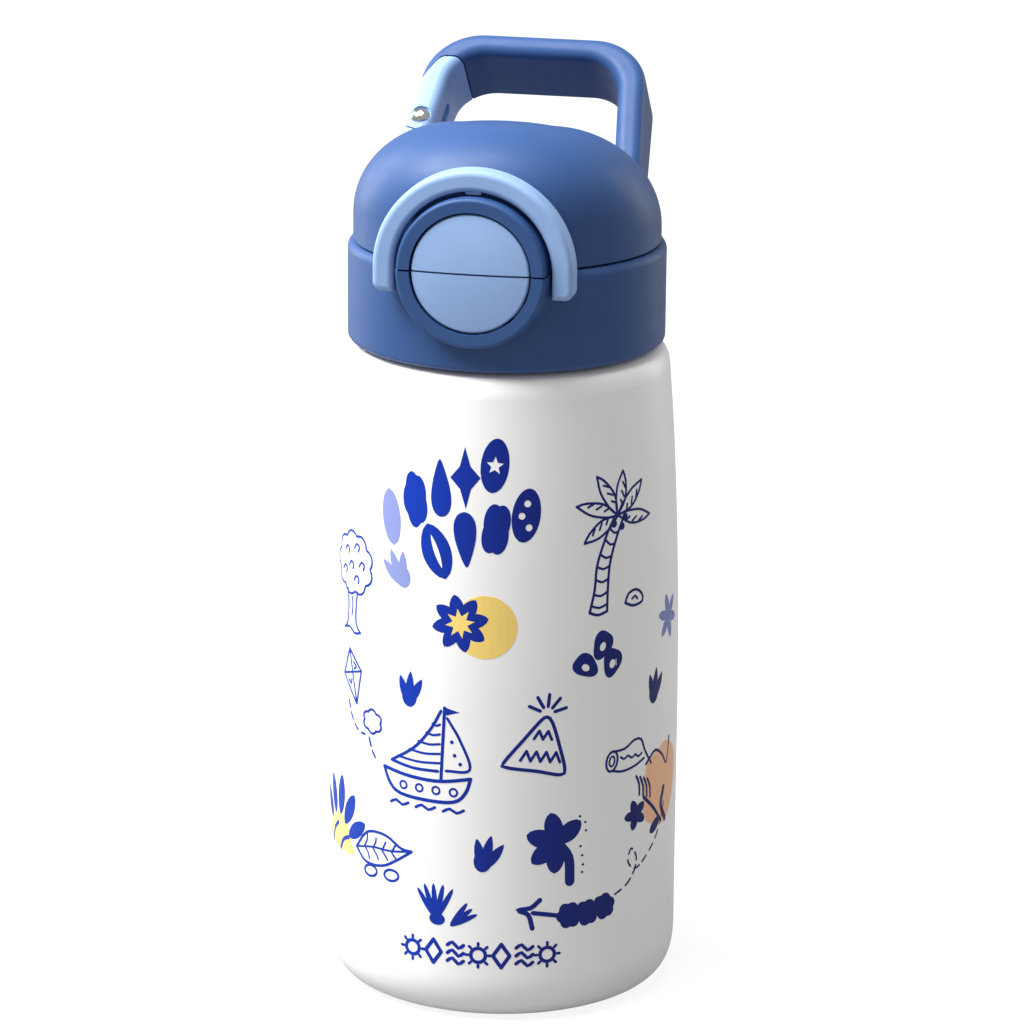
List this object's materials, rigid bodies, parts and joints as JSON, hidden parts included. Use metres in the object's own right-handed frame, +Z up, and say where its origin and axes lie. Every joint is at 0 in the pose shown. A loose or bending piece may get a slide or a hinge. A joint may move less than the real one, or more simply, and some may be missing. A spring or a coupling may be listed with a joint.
{
  "type": "kids water bottle",
  "caption": "Insulated straw bottle for children with a screw-on lid, flip-up domed cover, push button, lock bail and swinging carry loop.",
  "frame": {"origin": "centre of the flat base, where the bottle stands", "axes": "+Z up the bottle's axis; -Y is the front, with the push button; +X is the viewer's right from the front"},
  "size_m": [0.072, 0.079, 0.1899],
  "materials": {
    "body_white": "satin powder coat, printed",
    "steel_brushed": "brushed",
    "steel_polished": "polished",
    "getter_metal": "sintered",
    "blue_plastic": "soft matt",
    "light_blue_plastic": "soft matt",
    "white_silicone": "silicone",
    "clear_silicone": "translucent silicone",
    "natural_plastic": "moulded"
  },
  "bodies": {
    "bottle": {"outer_shell": "body_white", "inner_shell": "steel_brushed", "base_plate": "steel_brushed", "getter": "getter_metal"},
    "seal_ring": {"mouth_gasket": "white_silicone"},
    "lid": {"lid_collar": "blue_plastic", "thread_insert": "natural_plastic", "spout": "clear_silicone", "straw": "natural_plastic", "air_valve": "white_silicone", "cover_hinge_pin": "steel_polished", "cover_spring": "steel_polished", "button_springs": "steel_polished"},
    "button": {"push_button": "light_blue_plastic", "latch_hook": "natural_plastic"},
    "cover": {"cover_shell": "blue_plastic", "cover_liner": "blue_plastic", "spout_seal": "white_silicone", "button_trim": "light_blue_plastic", "latch_striker": "blue_plastic", "bail_pins": "steel_polished"},
    "lock": {"lock_bail": "light_blue_plastic"},
    "handle": {"handle_axle": "steel_polished", "handle_loop": "blue_plastic", "handle_foot": "light_blue_plastic", "gate_rivet": "steel_polished", "gate_spring": "steel_polished"},
    "gate_arm": {"gate": "light_blue_plastic"}
  },
  "joints": [
    {"name": "lid_rise", "type": "slide", "parent": "bottle", "child": "seal_ring", "axis": [0, 0, 1], "range_m": [0, 0.00701]},
    {"name": "lid_unscrew", "type": "hinge", "parent": "seal_ring", "child": "lid", "pos_m": [0, 0, 0.141], "axis": [0, 0, 1], "range_deg": [0, 630]},
    {"name": "button_press", "type": "slide", "parent": "lid", "child": "button", "axis": [0, 1, 0], "range_m": [0, 0.0023], "stiffness_N_per_m": 400, "deforming": ["button_springs"]},
    {"name": "cover_open", "type": "hinge", "parent": "lid", "child": "cover", "pos_m": [0, 0.033, 0.1554], "axis": [-1, 0, 0], "range_deg": [0, 92]},
    {"name": "lock_swing", "type": "hinge", "parent": "cover", "child": "lock", "pos_m": [0, -0.0304, 0.1528], "axis": [1, 0, 0], "range_deg": [0, 95]},
    {"name": "handle_swing", "type": "hinge", "parent": "cover", "child": "handle", "pos_m": [0, 0.0142, 0.1654], "axis": [-1, 0, 0], "range_deg": [-45, 34]},
    {"name": "gate_open", "type": "hinge", "parent": "handle", "child": "gate_arm", "pos_m": [-0.02235, 0.01785, 0.17587], "axis": [0, -0.6947, 0.7193], "range_deg": [-25, 0], "stiffness_Nm_per_rad": 0.02}
  ],
  "couplings": [
    {"joint": "lid_rise", "follows": "lid_unscrew", "m_per_rad": 0.00063662}
  ]
}
